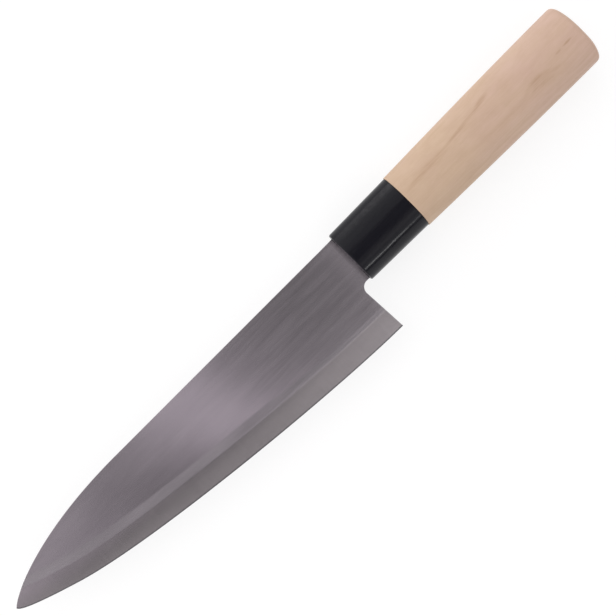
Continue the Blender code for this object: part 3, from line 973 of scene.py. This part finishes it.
def resin_finish():
    """Hardened amber resin, unseen inside the handle."""
    material, shading, shader, (x, y, z) = new_material("bedding_resin")
    place = shading.vector(shading.product(x, AMBER_CLOUDS), shading.product(y, AMBER_CLOUDS), z)
    cloud = shading.noise(place)
    shading.set(shader, Base_Color=shading.mix_colour(cloud, *AMBER))
    shading.set(shader, Roughness=shading.total(shading.product(cloud, ROUGHER_BY_CLOUD), AMBER_ROUGHNESS))
    return material


# The camera and the floor.
FLOOR_HALF = 4.0
FLOOR_CELLS = 8
FLOOR_WHITE = colour(0.80, 0.80, 0.80)          # as it lights the knife
FLOOR_SHADOWED = colour(0.25, 0.25, 0.25)       # the part of its seen white that a shadow can take
FLOOR_GLOW = 0.80


def make_camera():
    data = bpy.data.cameras.new("camera")
    data.lens = CAMERA_LENS
    camera = bpy.data.objects.new("camera", data)
    camera.location = KNIFE + Vector((CAMERA_X, CAMERA_Y, CAMERA_HEIGHT))
    camera.rotation_euler = (0, 0, CAMERA_TURN)
    bpy.context.scene.collection.objects.link(camera)
    bpy.context.scene.camera = camera


def floor_finish():
    """White when seen directly or in a reflection, with the knife's shadow on it."""
    material, shading, output = empty_material("floor_white")
    plain = shading.set(shading.add("ShaderNodeBsdfDiffuse"), Color=FLOOR_WHITE)
    shadowed = shading.set(shading.add("ShaderNodeBsdfDiffuse"), Color=FLOOR_SHADOWED)
    glow = shading.set(shading.add("ShaderNodeEmission"), Color=WHITE, Strength=FLOOR_GLOW)
    seen = shading.add("ShaderNodeAddShader")
    shading.give(seen.inputs, (shadowed.outputs[0], glow.outputs[0]))
    path = shading.add("ShaderNodeLightPath").outputs
    direct = shading.math("MAXIMUM", path["Is Camera Ray"], path["Is Glossy Ray"])
    direct = shading.math("MAXIMUM", direct, path["Is Transmission Ray"])
    mix = shading.add("ShaderNodeMixShader")
    shading.give(mix.inputs, (direct, plain.outputs[0], seen.outputs[0]))
    shading.set(output, Surface=mix.outputs[0])
    return material


def make_floor():
    bm = bmesh.new()
    bmesh.ops.create_grid(bm, x_segments=FLOOR_CELLS, y_segments=FLOOR_CELLS, size=FLOOR_HALF)
    mesh = bpy.data.meshes.new("floor")
    bm.to_mesh(mesh)
    bm.free()
    mesh.materials.append(floor_finish())
    floor = bpy.data.objects.new("floor", mesh)
    bpy.context.scene.collection.objects.link(floor)


# The lamps: a broad one on the spine side, and a compact panel on the edge side.
KEY_PLACE = (-0.3, 1.35, 0.5)
KEY_SIZE = 2.2
KEY_LEVEL = 0.45
KEY_TINT = colour(1.0, 0.98, 0.95)
SIDE_PANEL_DISTANCE = 1.2
SIDE_PANEL_ACROSS = radians(-54)    # from overhead towards the edge side
SIDE_PANEL_ALONG = radians(1.2)
SIDE_PANEL_SIZES = (0.10, 0.36)
SIDE_PANEL_LEVEL = 9.0


def make_lamp(name, place, aim, sizes, level, tint):
    """A lit panel that faces the aim. Its sizes run along the knife and away from it."""
    data = bpy.data.lights.new(name, "AREA")
    data.shape = "RECTANGLE"
    data.size, data.size_y = sizes
    data.energy = level * pi * data.size * data.size_y
    data.color = tint[:3]
    lamp = bpy.data.objects.new(name, data)
    lamp.location = place
    lamp.rotation_euler = (aim - place).to_track_quat("-Z", "Y").to_euler()
    bpy.context.scene.collection.objects.link(lamp)
    return lamp


def make_side_panel(pieces):
    """A panel that lights only these pieces, for the thin highlight along the ferrule."""
    aim = KNIFE + Vector((FERRULE_LENGTH / 2, 0, 0))
    away = SIDE_PANEL_DISTANCE * cos(SIDE_PANEL_ALONG)
    place = aim + Vector((SIDE_PANEL_DISTANCE * sin(SIDE_PANEL_ALONG), away * sin(SIDE_PANEL_ACROSS),
                          away * cos(SIDE_PANEL_ACROSS)))
    panel = make_lamp("side_panel", place, aim, SIDE_PANEL_SIZES, SIDE_PANEL_LEVEL, WHITE)
    lit = bpy.data.collections.new("lit_by_side_panel")
    for piece in pieces:
        lit.objects.link(piece)
    panel.light_linking.receiver_collection = lit


# The studio's light across the knife, as (degrees from overhead, level). Plus is the spine side. It is
# dark overhead, where the camera stands, and bright low down, apart from a dark band on the edge side.
LIGHT_ACROSS = ((-110, 1.1), (-88, 1.1), (-84, 0.25), (-76, 0.25), (-70, 1.25), (-33, 1.25),
                (-26, 0.62), (-22, 1.3), (-17.5, 1.3), (-15, 0.59), (-14, 0.55), (-12, 0.71), (-10.5, 0.72),
                (-9, 0.46), (-7.5, 0.265), (-6, 0.16), (-4, 0.105), (-1, 0.08), (4, 0.08), (8, 0.20),
                (14, 0.66), (20, 0.95), (30, 1.0), (40, 0.75), (48, 0.80), (60, 1.0), (70, 1.25), (95, 1.25))

# How that light changes along the knife, on the edge side and on the spine side, as (degrees, factor).
# Plus is the butt side. Between the degrees across that follow, one change passes into the other.
EDGE_SIDE = ((-17, 0.95), (-13.5, 0.66), (-11, 0.38), (-9, 0.41), (-6, 0.64), (1, 1.08))
SPINE_SIDE = ((-10, 1.2), (-5, 1.1), (1, 0.93))
SIDES_MEET = (-8, 4)

# A panel low on the spine side, as levels by degrees across the knife. Then come the degrees along it
# where the panel starts and is full, and where it starts and ends to fade.
SPINE_SIDE_PANEL = ((55, 0.0), (66, 3.0), (84, 3.0), (95, 0.0))
SPINE_SIDE_PANEL_STARTS = (3.0, 6.5)
SPINE_SIDE_PANEL_ENDS = (9, 14)

# A lit panel overhead, as levels by degrees along the knife.
PANEL_OVERHEAD = ((-24, 0.48), (-16, 0.485), (-12.5, 0.425), (-10.8, 0.165), (-9.2, 0.18), (-7.9, 0.43),
                  (-6.6, 0.88), (-5.0, 0.97), (-4.5, 0.145), (-2.4, 0.095), (-0.6, 0.0), (1.8, 0.0),
                  (2.8, 0.12), (6, 0.14), (10, 0.0))
PANEL_HALF_WIDTHS = (4, 9)      # degrees across the knife, where it starts and ends to fade

# Past the ends of the knife the studio is plain, as (degrees from overhead, level): dimmer overhead, and
# brighter low down and on the spine side.
PLAIN_LIGHT = ((0, 0.45), (35, 0.50), (65, 1.12), (90, 1.05))
PLAIN_SPINE_SIDE = 0.42
PLAIN_CENTRE = -10
PLAIN_FROM = (20, 32)           # degrees along to both sides of the centre, where it starts and is full

# The light overhead is a little purple, and the photograph's steel takes its tint from it. The degrees
# are where each tint starts to pass into the next, and where it ends to.
TINT_OVERHEAD = colour(1.0, 0.89, 1.0)
TINT_BESIDE_IT = colour(1.0, 0.935, 0.965)
TINT_ELSEWHERE = colour(1.0, 0.99, 1.0)
BESIDE_FROM = (4, 9)
ELSEWHERE_FROM = (14, 24)


def by_angle(shading, degrees, stops):
    """A light level that follows an angle through a few stops."""
    first, last = stops[0][0], stops[-1][0]
    brightest = max(level for angle, level in stops)
    ramp = shading.add("ShaderNodeValToRGB")
    shading.set(ramp, Fac=shading.ramp(degrees, first, last, smooth=False))
    elements = ramp.color_ramp.elements
    while len(elements) < len(stops):
        elements.new(MIDDLE)
    for element, (angle, level) in zip(elements, stops):
        element.position = (angle - first) / (last - first)
        element.color = colour(*[level / brightest] * 3)
    return shading.product(ramp.outputs["Color"], brightest)


def light_over_knife(shading, across, along, from_overhead):
    """The light that the knife's own length sees: two sides, and a panel in each of two places."""
    edge_side = by_angle(shading, along, EDGE_SIDE)
    spine_side = by_angle(shading, along, SPINE_SIDE)
    change = shading.mix_number(shading.ramp(across, *SIDES_MEET), edge_side, spine_side)
    sides = shading.product(by_angle(shading, across, LIGHT_ACROSS), change)
    spine_side_panel = shading.product(by_angle(shading, across, SPINE_SIDE_PANEL),
                                       shading.ramp(along, *SPINE_SIDE_PANEL_STARTS),
                                       shading.ramp(along, *SPINE_SIDE_PANEL_ENDS, 1.0, 0.0))
    overhead = shading.product(by_angle(shading, along, PANEL_OVERHEAD),
                               shading.ramp(from_overhead, *PANEL_HALF_WIDTHS, 1.0, 0.0))
    return shading.total(sides, spine_side_panel, overhead)


def light_past_ends(shading, y, z):
    level = by_angle(shading, shading.math("DEGREES", shading.math("ARCCOSINE", z)), PLAIN_LIGHT)
    return shading.product(level, shading.total(shading.product(y, PLAIN_SPINE_SIDE), 1.0))


def tint_of_light(shading, from_overhead, plain_share):
    tint = shading.mix_colour(shading.ramp(from_overhead, *BESIDE_FROM), TINT_OVERHEAD, TINT_BESIDE_IT)
    tint = shading.mix_colour(shading.ramp(from_overhead, *ELSEWHERE_FROM), tint, TINT_ELSEWHERE)
    return shading.mix_colour(plain_share, tint, TINT_ELSEWHERE)


def make_world():
    """A studio as the knife sees it, by angles from overhead."""
    world = bpy.data.worlds.new("studio")
    world.use_nodes = True
    world.node_tree.nodes.clear()
    bpy.context.scene.world = world
    shading = Shading(world.node_tree)
    x, y, z = shading.parts(shading.add("ShaderNodeTexCoord").outputs["Generated"])
    across = shading.math("DEGREES", shading.math("ARCTAN2", y, z))
    along = shading.math("DEGREES", shading.math("ARCSINE", x))
    from_overhead = shading.math("ABSOLUTE", across)
    from_centre = shading.math("ABSOLUTE", shading.math("SUBTRACT", along, PLAIN_CENTRE))
    plain_share = shading.ramp(from_centre, *PLAIN_FROM)
    light = shading.mix_number(plain_share, light_over_knife(shading, across, along, from_overhead),
                               light_past_ends(shading, y, z))
    tint = tint_of_light(shading, from_overhead, plain_share)
    # Seen directly, past the floor's far end, it is plain white.
    seen = shading.add("ShaderNodeLightPath").outputs["Is Camera Ray"]
    background = shading.add("ShaderNodeBackground")
    shading.set(background, Color=shading.mix_colour(seen, tint, WHITE),
                Strength=shading.mix_number(seen, light, 1.0))
    shading.set(shading.add("ShaderNodeOutputWorld"), Surface=background.outputs[0])


def build():
    lines = make_line_group()
    facets = make_facet_group()
    make_blade([flat_finish(lines, facets), bevel_finish(lines, facets), edge_finish(lines)])
    ferrule = make_ferrule(plastic_finish(lines))
    handle = make_handle(wood_finish(lines))
    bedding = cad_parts["tang_bedding"]
    bedding.data.materials.clear()
    bedding.data.materials.append(resin_finish())
    make_camera()
    make_floor()
    make_world()
    make_lamp("key", Vector(KEY_PLACE), Vector(), (KEY_SIZE, KEY_SIZE), KEY_LEVEL, KEY_TINT)
    make_side_panel([ferrule, handle])
    bpy.context.scene.view_settings.view_transform = "Standard"


build()
